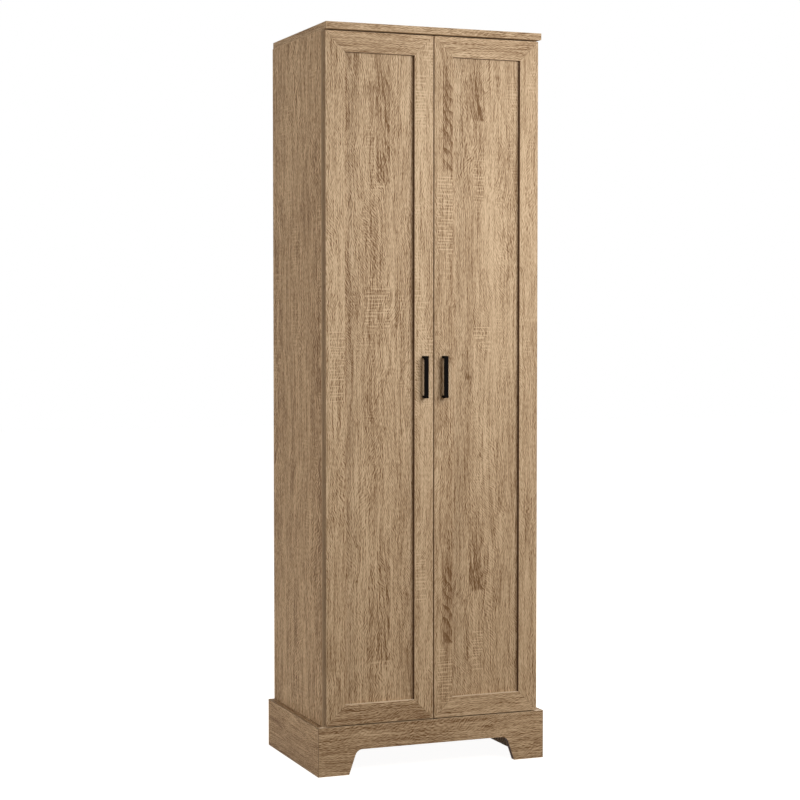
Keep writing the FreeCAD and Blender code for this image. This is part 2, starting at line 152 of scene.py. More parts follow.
class CupboardStudio(PropertyGroup):
    camera_place: Place(
        name="Camera Place", description="Where the camera stands", default=(-1.81826, -4.56199, 1.10593))
    camera_turn: Angle(
        name="Camera Turn", description="Turn of the camera to the right", default=math.radians(21.570))
    camera_tilt: Angle(
        name="Camera Tilt", description="Tilt of the camera above the horizon", default=math.radians(-2.467))
    camera_lens: FloatProperty(
        name="Camera Lens", description="Focal length on a 36 mm sensor", unit="CAMERA", default=87.747)
    key_place: Place(name="Key Place", description="Where the key light hangs", default=(0.56, -1.55, 1.6))
    key_size: Length(name="Key Size", description="Side of the square key light", default=0.95)
    key_power: Power(name="Key Power", description="Power of the key light", default=20.8)
    fill_place: Place(name="Fill Place", description="Where the fill light hangs", default=(-3.2, -0.9, 1.6))
    fill_size: Length(name="Fill Size", description="Side of the square fill and rear lights", default=1.6)
    fill_power: Power(name="Fill Power", description="Power of the fill light", default=38.0)
    fill_tint: Tint(name="Fill Tint", description="Colour of the fill light", default=(1.0, 0.93, 0.84))
    rear_place: Place(name="Rear Place", description="Where the light behind hangs", default=(2.3, 2.3, 2.9))
    rear_power: Power(name="Rear Power", description="Power of the light behind", default=80.0)
    ambient: Share(name="Ambient", description="Strength of the even light from all round", default=0.2)
    ambient_tint: Tint(
        name="Ambient Tint", description="Colour of the even light from all round", default=(1.0, 0.88, 0.75))


# ---- shader trees
class Graph:
    """Adds nodes to a shader tree; an input is a number, a colour, a vector or a socket to link."""

    def __init__(self, tree):
        self.tree = tree

    def feed(self, sockets, inputs):
        """Links or sets each named input among the sockets."""
        for name, value in inputs.items():
            if isinstance(value, bpy.types.NodeSocket):
                self.tree.links.new(value, sockets[name])
            else:
                sockets[name].default_value = value

    def node(self, kind, inputs=None, **settings):
        made = self.tree.nodes.new(kind)
        made.location = (180 * (len(self.tree.nodes) % 12), -220 * (len(self.tree.nodes) // 12))
        for name, value in settings.items():
            setattr(made, name, value)
        self.feed(made.inputs, inputs or {})
        return made

    def maths(self, operation, *values):
        return self.node("ShaderNodeMath", dict(enumerate(values)), operation=operation).outputs[0]

    plus = partialmethod(maths, "ADD")
    less = partialmethod(maths, "SUBTRACT")
    times = partialmethod(maths, "MULTIPLY")
    over = partialmethod(maths, "DIVIDE")
    times_plus = partialmethod(maths, "MULTIPLY_ADD")
    size_of = partialmethod(maths, "ABSOLUTE")
    highest = partialmethod(maths, "MAXIMUM")

    def vectors(self, operation, *values):
        return self.node("ShaderNodeVectorMath", dict(enumerate(values)), operation=operation).outputs[0]

    def parts(self, vector):
        """The X, Y and Z of a vector."""
        return self.node("ShaderNodeSeparateXYZ", {0: vector}).outputs

    def noise(self, place, detail=2.0, roughness=0.5, scale=1.0):
        inputs = {"Vector": place, "Scale": scale, "Detail": detail, "Roughness": roughness}
        return self.node("ShaderNodeTexNoise", inputs).outputs["Fac"]

    def stretched(self, place, across, along, detail=1.0, roughness=0.5):
        """Noise whose features are that wide and that long, with the length along Z."""
        scaled = self.vectors("MULTIPLY", place, (1 / across, 1 / across, 1 / along))
        return self.noise(scaled, detail, roughness)

    def ramp_between(self, value, low, high, kind="LINEAR"):
        """0 below low, 1 above high, and even between them."""
        inputs = {"Value": value, "From Min": low, "From Max": high}
        return self.node("ShaderNodeMapRange", inputs, interpolation_type=kind).outputs["Result"]

    step_between = partialmethod(ramp_between, kind="SMOOTHSTEP")

    def blend(self, share, first, second):
        return self.node("ShaderNodeMix", {0: share, 6: first, 7: second}, data_type="RGBA").outputs[2]

    def blend_vectors(self, share, first, second):
        return self.node("ShaderNodeMix", {0: share, 4: first, 5: second}, data_type="VECTOR").outputs[1]

    def sum_of(self, start, *terms):
        """The start plus each (value, weight) pair, where a value's middle is 0.5."""
        total = start
        for value, weight in terms:
            total = self.times_plus(self.less(value, 0.5), weight, total)
        return total

    def group(self, name, build, inputs):
        """The outputs of a node group, which is built the first time that it is asked for."""
        if name not in bpy.data.node_groups:
            build(name)
        return self.node("ShaderNodeGroup", inputs, node_tree=bpy.data.node_groups[name]).outputs


def new_group(name, inputs, outputs):
    """A node group with sockets listed by kind: its graph, its inputs, and its outputs to feed."""
    tree = bpy.data.node_groups.new(name, "ShaderNodeTree")
    for direction, sockets in (("INPUT", inputs), ("OUTPUT", outputs)):
        for kind, labels in sockets.items():
            for label in labels.split(", "):
                tree.interface.new_socket(name=label, in_out=direction, socket_type="NodeSocket" + kind)
    graph = Graph(tree)
    return graph, graph.node("NodeGroupInput").outputs, graph.node("NodeGroupOutput").inputs


def build_oak_print(name):
    """Oak print whose grain runs along Z: bands, fibre streaks, flecks, splits and saw marks."""
    oak = bpy.context.scene.cupboard_oak
    graph, given, result = new_group(
        name, {"Vector": "Place", "Color": "Light, Middle, Dark",
               "Float": "Tone, Contrast, Figure, Sawing, Strokes, Sawn"},
        {"Color": "Color", "Float": "Height, Roughness"})
    raw = given["Place"]
    wander = graph.sum_of(
        0.0, (graph.stretched(raw, 110 * MM, 280 * MM), 34 * MM),
        (graph.stretched(raw, 70 * MM, 70 * MM), 5 * MM))
    sway = graph.node("ShaderNodeVectorMath", {0: (1, 1, 0), "Scale": wander}, operation="SCALE").outputs[0]
    place = graph.vectors("ADD", raw, sway)

    axes = graph.parts(raw)
    across = graph.plus(axes["X"], axes["Y"])
    strip = graph.maths("FLOOR", graph.over(across, oak.strip_width))
    shift = graph.node("ShaderNodeTexWhiteNoise", {"W": strip}, noise_dimensions="1D").outputs["Value"]
    along = graph.times_plus(shift, 9.0, graph.over(axes["Z"], oak.strip_length))
    cell = graph.node("ShaderNodeCombineXYZ", {0: strip, 1: graph.maths("FLOOR", along)}).outputs[0]
    chance = graph.node("ShaderNodeTexWhiteNoise", {"Vector": cell}, noise_dimensions="2D").outputs["Color"]
    chances = graph.node("ShaderNodeSeparateColor", {0: chance}).outputs

    bands = graph.stretched(place, oak.band_width, 2600 * MM)
    clouds = graph.stretched(place, 80 * MM, 420 * MM)
    streaks = graph.stretched(place, oak.streak_width, oak.streak_length, 1.5, 0.6)
    broad_streaks = graph.stretched(place, 4 * oak.streak_width, 3.5 * oak.streak_length)
    flat = graph.parts(place)
    sheet = graph.node(
        "ShaderNodeCombineXYZ", {0: graph.plus(flat["X"], flat["Y"]), 1: flat["Z"]}).outputs[0]
    lean = graph.sum_of(
        0.12, (graph.stretched(raw, 70 * MM, 420 * MM), 2.2),
        (graph.stretched(raw, 25 * MM, 40 * MM, 0.0), 0.7))
    hatch = graph.node("ShaderNodeTexGabor", {
        "Vector": sheet, "Scale": 1 / oak.fleck_length, "Frequency": oak.fleck_length / oak.fleck_spacing,
        "Anisotropy": 0.88, 4: lean}).outputs["Value"]
    flecks = graph.stretched(place, 0.38 * oak.fleck_spacing, 1.1 * oak.fleck_length, 0.5)
    fibres = graph.stretched(place, 0.6 * MM, 30 * MM, 0.5)
    split_field = graph.less(graph.stretched(place, 24 * MM, 460 * MM), 0.5)
    splits = graph.less(1.0, graph.step_between(graph.size_of(split_field), 0.003, 0.018))
    split_cover = graph.step_between(graph.stretched(raw, 30 * MM, 180 * MM), 0.54, 0.62)
    splits = graph.times(graph.times(splits, split_cover), given["Figure"])

    pitches = graph.over(axes["Z"], oak.saw_pitch)
    tooth = graph.times_plus(graph.stretched(raw, 300 * MM, 30 * MM, 2.0), 2.5, pitches)
    off_cut = graph.size_of(graph.less(graph.maths("FRACT", tooth), 0.5))
    bite = graph.step_between(graph.noise(graph.vectors("MULTIPLY", raw, (45, 45, 160))), 0.4, 0.52)
    cuts = graph.times(graph.less(1.0, graph.step_between(off_cut, 0.1, 0.26)), bite)
    cut_cover = graph.step_between(graph.stretched(raw, 40 * MM, 90 * MM), 0.54, 0.62)
    cut_chance = graph.times(graph.maths("GREATER_THAN", chances["Blue"], 0.72), given["Sawing"])
    sawn = graph.highest(graph.times(cut_chance, cut_cover), given["Sawn"])
    saw_marks = graph.times(graph.less(cuts, 0.15), sawn)

    value = graph.sum_of(
        0.0, (bands, 0.42), (clouds, 0.25), (broad_streaks, 0.62), (streaks, 1.5), (hatch, 1.3),
        (flecks, 1.05), (fibres, 0.8), (chances["Red"], 0.05))
    value = graph.times_plus(value, given["Contrast"], graph.plus(given["Tone"], 0.5))
    value = graph.times_plus(splits, -0.28, value)
    value = graph.times_plus(given["Strokes"], -0.72, value)
    value = graph.times_plus(saw_marks, 0.42, value)
    lower = graph.blend(graph.ramp_between(value, 0.0, 0.5), given["Dark"], given["Middle"])
    colour = graph.blend(graph.ramp_between(value, 0.5, 1.0), lower, given["Light"])
    relief = graph.plus(graph.plus(flecks, hatch), fibres)
    graph.feed(result, {
        "Color": colour, "Height": graph.times_plus(saw_marks, 0.4, relief),
        "Roughness": graph.times_plus(flecks, -0.2, oak.roughness + 0.1)})


def in_patch(graph, given):
    """The mask of a patch that comes back at each print length, with its place from its sides and ends."""
    axes = {label: graph.parts(given[label]) for label in ("Place", "Low", "High")}
    length = bpy.context.scene.cupboard_oak.print_length
    rise = graph.maths("FLOORED_MODULO", graph.less(axes["Place"]["Z"], axes["Low"]["Z"]), length)
    height = graph.less(axes["High"]["Z"], axes["Low"]["Z"])
    to_end = graph.maths("MINIMUM", rise, graph.less(height, rise))
    ends = graph.step_between(graph.over(to_end, given["Softness"]), 0.0, 1.0)
    width = graph.less(axes["High"]["X"], axes["Low"]["X"])
    share = graph.over(graph.less(axes["High"]["X"], axes["Place"]["X"]), width)
    inside = graph.maths("COMPARE", share, 0.5, 0.5)
    return graph.times(inside, ends), share, rise, height


def build_sawn_patch(name):
    """A mask for a patch of saw marks, sharp at its sides and soft at its ends."""
    graph, given, result = new_group(
        name, {"Vector": "Place, Low, High", "Float": "Softness"}, {"Float": "Mask"})
    graph.feed(result, {"Mask": in_patch(graph, given)[0]})


def build_arched_figure(name):
    """Growth rings that arch away from the high side of a patch, like the edge of a flat-sawn board."""
    graph, given, result = new_group(
        name, {"Vector": "Place, Low, High", "Float": "Softness, Ring, Arch"}, {"Float": "Mask"})
    mask, share, rise, height = in_patch(graph, given)
    mask = graph.times(mask, graph.ramp_between(graph.less(height, rise), 0.0, FIGURE_FADE))
    swirl = graph.stretched(given["Place"], 24 * MM, 90 * MM, 1.5)
    bow = graph.maths("POWER", graph.highest(share, 0.0), 1.5)
    rings = graph.times_plus(swirl, 1.8, graph.over(rise, given["Ring"]))
    rings = graph.less(rings, graph.times(bow, given["Arch"]))
    dark = graph.maths("POWER", graph.maths("FRACT", rings), 2.0)
    fading = graph.step_between(graph.stretched(given["Place"], 40 * MM, 70 * MM), 0.2, 0.5)
    dark = graph.times_plus(graph.times(dark, fading), 0.8, 0.2)
    graph.feed(result, {"Mask": graph.times(dark, mask)})


def build_board_faces(name):
    """Masks for the faces of a board, from its two corners."""
    graph, given, result = new_group(
        name, {"Vector": "Place, Low, High, Normal", "Float": "Reach"},
        {"Float": "X Faces, Y Faces, Z Faces, Low X, Front, Rear, Low Z, High Z, Arris, Corner, Cut"})
    split = {label: graph.parts(given[label]) for label in ("Place", "Low", "High")}
    near = []
    for axis, (low_label, high_label) in {
            "X": ("Low X", None), "Y": ("Front", "Rear"), "Z": ("Low Z", "High Z")}.items():
        at_low, at_high, wide_low, wide_high = (
            graph.maths("COMPARE", split["Place"][axis], split[end][axis], reach)
            for reach in (given["Reach"], ARRIS) for end in ("Low", "High"))
        graph.feed(result, {axis + " Faces": graph.highest(at_low, at_high), low_label: at_low})
        if high_label:
            graph.feed(result, {high_label: at_high})
        near.append(graph.highest(wide_low, wide_high))
    near_count = graph.plus(graph.plus(near[0], near[1]), near[2])
    sideways = graph.maths("LESS_THAN", graph.size_of(graph.parts(given["Normal"])["Y"]), 0.5)
    graph.feed(result, {
        "Arris": graph.maths("GREATER_THAN", near_count, 1.5), "Corner": graph.times(near[0], near[1]),
        "Cut": graph.times(sideways, graph.maths("LESS_THAN", near_count, 0.5))})


def build_mitre_lines(name):
    """A mask for the fine lines where a door frame's boards meet at 45 degrees."""
    graph, given, result = new_group(
        name, {"Vector": "Place, Low, High", "Float": "Width"}, {"Float": "Line"})
    from_low = graph.vectors("SUBTRACT", given["Place"], given["Low"])
    from_high = graph.vectors("SUBTRACT", given["High"], given["Place"])
    nearest = graph.parts(graph.vectors("MINIMUM", from_low, from_high))
    off_line = graph.size_of(graph.less(nearest["X"], nearest["Z"]))
    share = graph.over(off_line, given["Width"])
    graph.feed(result, {"Line": graph.less(1.0, graph.step_between(share, 0.3, 1.0))})


def build_chipboard(name):
    """Raw chipboard: pressed flakes of several tones."""
    graph, given, result = new_group(
        name, {"Vector": "Place", "Color": "Pale, Brown"}, {"Color": "Color", "Float": "Height"})
    flakes = graph.node("ShaderNodeTexVoronoi", {"Vector": given["Place"], "Scale": 380.0})
    tones = graph.node("ShaderNodeSeparateColor", {0: flakes.outputs["Color"]}).outputs["Red"]
    dust = graph.noise(given["Place"], scale=900.0)
    share = graph.times_plus(dust, 0.4, graph.times(tones, 0.6))
    colour = graph.blend(share, given["Brown"], given["Pale"])
    graph.feed(result, {"Color": colour, "Height": flakes.outputs["Distance"]})


def build_hardboard(name):
    """Bare hardboard: brown fibres pressed flat, with a faint mesh of the press."""
    graph, given, result = new_group(
        name, {"Vector": "Place", "Color": "Pale, Brown"}, {"Color": "Color", "Float": "Height, Roughness"})
    fibres = graph.noise(given["Place"], detail=4.0, roughness=0.7, scale=160.0)
    clouds = graph.noise(given["Place"], scale=6.0)
    share = graph.sum_of(0.5, (fibres, 1.3), (clouds, 0.8))
    mesh = graph.node(
        "ShaderNodeTexWave", {"Vector": given["Place"], "Scale": 160.0}, bands_direction="DIAGONAL")
    graph.feed(result, {
        "Color": graph.blend(share, given["Brown"], given["Pale"]),
        "Height": graph.times_plus(mesh.outputs["Fac"], 0.5, fibres),
        "Roughness": graph.times_plus(fibres, 0.2, 0.6)})


def build_handled_metal(name):
    """Metal or coating that has been handled: uneven polish, faint rubs and a fine surface."""
    graph, given, result = new_group(
        name, {"Vector": "Place", "Color": "Base, Worn", "Float": "Polish, Unevenness"},
        {"Color": "Color", "Float": "Height, Roughness"})
    smears = graph.noise(given["Place"], detail=3.0, scale=55.0)
    grit = graph.noise(given["Place"], detail=2.0, scale=1400.0)
    rubs = graph.times(graph.step_between(smears, 0.5, 0.75), 0.5)
    graph.feed(result, {
        "Color": graph.blend(rubs, given["Base"], given["Worn"]), "Height": grit,
        "Roughness": graph.times_plus(graph.less(smears, 0.5), given["Unevenness"], given["Polish"])})


# ---- materials
GRAIN_TURN = {"X": (0, math.radians(-90), 0), "Y": (math.radians(90), 0, 0), "Z": (0, 0, 0)}
END_GRAIN = {"X": "Y", "Y": "Z", "Z": "X"}


def new_material(name):
    """A material with one Principled shader: the material, its graph, its shader and the place."""
    material = bpy.data.materials.new(name)
    material.use_nodes = True
    graph = Graph(material.node_tree)
    shader = material.node_tree.nodes["Principled BSDF"]
    place = graph.node("ShaderNodeTexCoord").outputs["Object"]
    return material, graph, shader, place


def connect(graph, shader, surface, depth, strength, others=None):
    """Feeds a shader with a surface's colour, any roughness, its relief in mm, and any other inputs."""
    bump = graph.node("ShaderNodeBump", {
        "Height": surface["Height"], "Distance": depth * MM, "Strength": strength})
    inputs = {"Base Color": surface["Color"], "Normal": bump.outputs["Normal"], **(others or {})}
    if "Roughness" in surface:
        inputs["Roughness"] = surface["Roughness"]
    graph.feed(shader.inputs, inputs)


def turned(graph, place, grain, print_place, breadth=1.0):
    """The place on a board, turned so that its grain runs along Z, and moved over the print."""
    scale = tuple(1.0 if axis == grain else 1 / breadth for axis in "XYZ")
    inputs = {"Vector": place, "Location": print_place, "Rotation": GRAIN_TURN[grain], "Scale": scale}
    return graph.node("ShaderNodeMapping", inputs).outputs[0]


# Tone is added to the print, figure and sawing say how much of each shows, and print_place moves it.
# Painted shade falls on the faces listed for shade, painted light on the pale faces, and the value for
# arrises paints a highlight along all arrises, or shade where it is below zero.
Board = namedtuple(
    "Board", "grain tone figure sawing print_place raw shaded pale arris arches sawn breadth contrast",
    defaults=((), {}, {}, 0.35, (), (), 1.0, 1.0))
Patch = namedtuple("Patch", "low_x low_z high_x high_z ring arch", defaults=(30, 1))


def patch_corners(place, patch):
    """The inputs that say where a patch of a board is."""
    return {"Place": place, "Low": (patch.low_x * MM, 0, patch.low_z * MM),
            "High": (patch.high_x * MM, 0, patch.high_z * MM), "Softness": PATCH_SOFTNESS}


def board_faces(graph, place, node):
    """The face masks of one board."""
    low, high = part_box(node)
    return graph.group("Board faces", build_board_faces, {
        "Place": place, "Low": low, "High": high, "Reach": FACE_REACH,
        "Normal": place.node.outputs["Normal"]})


def oak_surface(graph, place, faces, board):
    """The oak print of one board, with the grain turned on its ends."""
    oak = bpy.context.scene.cupboard_oak
    along, across = (turned(graph, place, grain, board.print_place, board.breadth)
                     for grain in (board.grain, END_GRAIN[board.grain]))
    laid = graph.blend_vectors(faces[board.grain + " Faces"], along, across)
    strokes = sawn = 0.0
    for patch in board.arches:
        figure = graph.group("Arched figure", build_arched_figure, {
            **patch_corners(place, patch), "Ring": patch.ring * MM, "Arch": patch.arch})
        strokes = graph.highest(strokes, figure["Mask"])
    for patch in board.sawn:
        marks = graph.group("Sawn patch", build_sawn_patch, patch_corners(place, patch))
        sawn = graph.highest(sawn, marks["Mask"])
    return graph.group("Oak print", build_oak_print, {
        "Place": laid, "Light": oak.light, "Middle": oak.middle, "Dark": oak.dark,
        "Tone": board.tone, "Contrast": board.contrast, "Figure": board.figure, "Sawing": board.sawing,
        "Strokes": strokes, "Sawn": sawn})


def chipboard(graph, place):
    """The surface of raw chipboard."""
    return graph.group("Chipboard", build_chipboard, {
        "Place": place, "Pale": shown(205, 170, 124), "Brown": shown(140, 104, 68)})


def oak_material(node, board, door=None):
    """The finish of one laminated board: oak print, raw chipboard edges, dark mitre lines on door frames,
    painted shade on listed faces, and painted light on pale faces and along the arrises.
    """
    oak = bpy.context.scene.cupboard_oak
    material, graph, shader, place = new_material(node + "_finish")
    faces = board_faces(graph, place, node)
    surface = oak_surface(graph, place, faces, board)
    colour, height = surface["Color"], surface["Height"]

    def tinted(mask, share, tone):
        return graph.blend(graph.times(mask, share), colour, tone)

    if door:
        mitre = graph.group("Mitre lines", build_mitre_lines, {
            "Place": place, "Low": door[0], "High": door[1], "Width": MITRE_LINE})
        colour = tinted(mitre["Line"], 0.35, oak.shade)
    # Painted highlight along all arrises in the light colour, or painted shade in the shade colour where the
    # board's value for arrises is below zero.
    colour = tinted(faces["Arris"], abs(board.arris), oak.light if board.arris > 0 else oak.shade)
    # Painted light: the pale faces are blended towards the edge colour.
    for face, share in board.pale.items():
        colour = tinted(faces[face], share, oak.edge)
    # Painted shade: the listed faces are blended towards the shade colour.
    for face, share in board.shaded.items():
        colour = tinted(faces[face], share, oak.shade)
    for face in board.raw:
        chips = chipboard(graph, place)
        colour = graph.blend(faces[face], colour, chips["Color"])
        height = graph.times_plus(faces[face], chips["Height"], height)
    finish = {"Color": colour, "Height": height, "Roughness": surface["Roughness"]}
    connect(graph, shader, finish, depth=0.12, strength=0.3, others={"Specular IOR Level": 0.12})
    return material


def metal_material(name, base, worn, polish, unevenness, metallic, grit=0.05, specular=0.5):
    """A plated or coated metal with handling marks."""
    material, graph, shader, place = new_material(name)
    surface = graph.group("Handled metal", build_handled_metal, {
        "Place": place, "Base": base, "Worn": worn, "Polish": polish, "Unevenness": unevenness})
    connect(graph, shader, surface, depth=grit, strength=0.25, others={
        "Metallic": metallic, "Specular IOR Level": specular})
    return material


def kept_material(name, build, *arguments, **settings):
    """A material by its name, made the first time that it is asked for."""
    return bpy.data.materials.get(name) or build(name, *arguments, **settings)


def nickel():
    return kept_material(
        "nickel_plate", metal_material, bpy.context.scene.cupboard_metal.nickel, (0.75, 0.73, 0.69, 1),
        polish=0.3, unevenness=0.25, metallic=1.0)


def zinc():
    return kept_material(
        "cast_zinc", metal_material, bpy.context.scene.cupboard_metal.zinc, (0.6, 0.6, 0.6, 1),
        polish=0.46, unevenness=0.3, metallic=1.0, grit=0.15)


def black_coat():
    return kept_material(
        "black_coat", metal_material, bpy.context.scene.cupboard_metal.black, (0.006, 0.0055, 0.0055, 1),
        polish=0.5, unevenness=0.2, metallic=0.0, grit=0.08, specular=0.02)


def plain_wood_material(name, grain, light, middle, dark):
    """Unfaced wood for blocks and dowels: the print's streaks without figure or saw marks."""
    material, graph, shader, place = new_material(name)
    surface = graph.group("Oak print", build_oak_print, {
        "Place": turned(graph, place, grain, (0.4, 0.1, 0.2)),
        "Light": light, "Middle": middle, "Dark": dark, "Contrast": 1.0})
    connect(graph, shader, surface, depth=0.2, strength=0.3)
    return material


def chipboard_material(name):
    """Raw chipboard on all faces, for the hidden rails."""
    material, graph, shader, place = new_material(name)
    connect(graph, shader, chipboard(graph, place), depth=0.3, strength=0.4, others={"Roughness": 0.8})
    return material


def back_sheet_material(node, board):
    """Hardboard with the oak print on its inner face and bare brown fibre behind."""
    material, graph, shader, place = new_material(node + "_finish")
    faces = board_faces(graph, place, node)
    print_colour = oak_surface(graph, place, faces, board)["Color"]
    bare = graph.group("Hardboard", build_hardboard, {
        "Place": place, "Pale": shown(158, 122, 86), "Brown": shown(116, 84, 57)})
    colour = graph.blend(faces["Front"], bare["Color"], print_colour)
    finish = {"Color": colour, "Height": bare["Height"], "Roughness": bare["Roughness"]}
    connect(graph, shader, finish, depth=0.1, strength=0.2)
    return material


def clear_plastic_material(name):
    """Soft clear plastic."""
    material, graph, shader, place = new_material(name)
    surface = graph.group("Handled metal", build_handled_metal, {
        "Place": place, "Base": (0.9, 0.9, 0.88, 1), "Worn": (0.8, 0.8, 0.78, 1),
        "Polish": 0.18, "Unevenness": 0.1})
    connect(graph, shader, surface, depth=0.02, strength=0.1, others={
        "Transmission Weight": 0.75, "IOR": 1.46})
    return material


def dress(node, material):
    """Gives a frame node its material."""
    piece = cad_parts[node]
    if not piece.material_slots:
        piece.data.materials.append(material)
    for slot in piece.material_slots:
        slot.material = material


# ---- small solids
def lathe(profile, segments):
    """A round solid from (radius, height) pairs that start and end on the axis, turned about Z."""
    shape = bmesh.new()
    points = [shape.verts.new((radius, 0, height)) for radius, height in profile]
    edges = [shape.edges.new(pair) for pair in zip(points, points[1:])]
    bmesh.ops.spin(shape, geom=points + edges, axis=(0, 0, 1), cent=(0, 0, 0), angle=math.tau,
                   steps=segments, use_merge=True, use_duplicate=False)
    bmesh.ops.remove_doubles(shape, verts=shape.verts, dist=0.001 * MM)
    bmesh.ops.recalc_face_normals(shape, faces=shape.faces)
    return shape


def as_mesh(shape, name):
    """A mesh from a bmesh, which is freed."""
    mesh = bpy.data.meshes.new(name)
    shape.to_mesh(mesh)
    shape.free()
    return mesh


def cut_out(body, cutter, name):
    """One bmesh less another, as a mesh."""
    solids = [bpy.data.objects.new(name, as_mesh(shape, name)) for shape in (body, cutter)]
    for solid in solids:
        bpy.context.scene.collection.objects.link(solid)
    cut = solids[0].modifiers.new("recess", "BOOLEAN")
    cut.operation = "DIFFERENCE"
    cut.solver = "EXACT"
    cut.object = solids[1]
    bpy.context.view_layer.update()
    view = bpy.context.evaluated_depsgraph_get()
    mesh = bpy.data.meshes.new_from_object(solids[0].evaluated_get(view))
    if not mesh.polygons:
        raise RuntimeError(name + " was cut away whole")
    for solid in solids:
        bpy.data.meshes.remove(solid.data)
    return mesh


def cross_cutter(width, length, depth, top, turn):
    """A cross-shaped solid, turned about Z, that tapers as it reaches down from a height."""
    cutter = bmesh.new()
    near, far = width / 2, length / 2
    arm = [(near, near), (near, far), (-near, far)]
    turns = [Matrix.Rotation(turn + quarter * math.pi / 2, 2) for quarter in range(4)]
    outline = [quarter @ Vector(corner) for quarter in turns for corner in arm]
    tip, rim = (
        [cutter.verts.new((*(share * corner), height)) for corner in outline]
        for share, height in ((0.55, top - depth), (1.0, top + depth)))
    cutter.faces.new(tip)
    cutter.faces.new(rim)
    for index in range(len(outline)):
        cutter.faces.new((tip[index - 1], tip[index], rim[index], rim[index - 1]))
    bmesh.ops.recalc_face_normals(cutter, faces=cutter.faces)
    return cutter


def screw_head(radius, height):
    """A low domed screw head that sits on Z = 0, with a cross recess."""
    segments = bpy.context.scene.cupboard_metal.screw_segments
    profile = [(0, 0), (radius, 0), (radius, 0.3 * height), (0.93 * radius, 0.62 * height),
               (0.75 * radius, 0.86 * height), (0.45 * radius, 0.97 * height), (0, height)]
    head = lathe(profile, segments)
    off_the_seams = math.pi / segments
    cross = cross_cutter(0.26 * radius, 1.15 * radius, 0.62 * height, height, off_the_seams)
    return cut_out(head, cross, "head")


def set_on(direction, place, turn=0.0):
    """The matrix that stands a solid's Z along a direction at a place."""
    upright = direction.to_track_quat("Z", "Y").to_matrix().to_4x4()
    return Matrix.Translation(place) @ upright @ Matrix.Rotation(turn, 4, "Z")


def smooth(piece):
    """Smooth faces, with the sharp edges kept."""
    shape = bmesh.new()
    shape.from_mesh(piece.data)
    for face in shape.faces:
        face.smooth = True
    for edge in shape.edges:
        edge.smooth = len(edge.link_faces) == 2 and edge.calc_face_angle(0) < SHARP_ANGLE
    shape.to_mesh(piece.data)
    shape.free()


def repeated(name, mesh, matrices, body, material):
    """One piece that holds a copy of a mesh at each matrix and rides on a body."""
    shape = bmesh.new()
    for matrix in matrices:
        before = set(shape.verts)
        shape.from_mesh(mesh)
        added = [point for point in shape.verts if point not in before]
        bmesh.ops.transform(shape, matrix=matrix, verts=added)
    piece = bpy.data.objects.new(name, as_mesh(shape, name))
    bpy.context.scene.collection.objects.link(piece)
    piece.data.materials.append(material)
    smooth(piece)
    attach(piece, body)
    return piece


# ---- the case
# Painted light on the front edges of the side panels and of the bottom panel; painted shade on the ends of
# the top panel.
CASE_BOARDS = {
    "left_side_panel": Board("Z", 0.0, 0.5, 0.5, (0.31, 0.2, 0.0), raw=("Rear",), pale={"Front": 1.0},
        breadth=2.1, contrast=1.3),
    "right_side_panel": Board("Z", 0.0, 0.5, 0.5, (2.31, 1.2, 3.0), raw=("Rear",), pale={"Front": 1.0},
        breadth=2.1, contrast=1.3),
    "top_panel": Board("X", 0.03, 0.4, 0.1, (1.2, 0.4, 0.7), raw=("Rear",), shaded={"X Faces": 0.2}),
    "bottom_panel": Board("X", 0.0, 0.6, 0.4, (3.1, 2.4, 1.7), pale={"Front": 1.0}),
    "fixed_shelf": Board("X", 0.0, 0.6, 0.4, (5.1, 1.4, 4.7)),
    "centre_partition": Board("Z", 0.0, 0.7, 0.5, (6.1, 3.4, 2.7)),
    "adjustable_shelf_1": Board("X", 0.0, 0.6, 0.4, (7.3, 0.4, 6.7)),
    "adjustable_shelf_2": Board("X", 0.02, 0.6, 0.4, (8.6, 2.9, 5.1)),
    "adjustable_shelf_3": Board("X", -0.02, 0.6, 0.4, (9.2, 5.4, 3.3)),
}
BACK_SHEETS = {
    "back_sheet_lower": Board("Z", 0.03, 0.5, 0.2, (4.4, 3.2, 9.1)),
    "back_sheet_upper": Board("Z", 0.03, 0.5, 0.2, (1.4, 6.2, 7.1)),
}
# Front skirt: painted shade on its arch's cut faces and its upright corner, painted light on its top face,
# and a painted highlight along its arrises. Side skirts: painted shade along their arrises.
SKIRT_BOARDS = {
    "front_skirt": Board("X", 0.0, 0.9, 0.1, (0.6, 4.2, 0.9), shaded={"Cut": 1.0, "Corner": 0.55},
        pale={"High Z": 1.0}, arris=0.4),
    "left_skirt": Board("Y", -0.1, 0.8, 0.1, (4.6, 0.8, 5.3), raw=("Rear",), arris=-0.6),
    "right_skirt": Board("Y", -0.06, 0.8, 0.1, (6.6, 1.8, 2.3), raw=("Rear",), arris=-0.4),
}
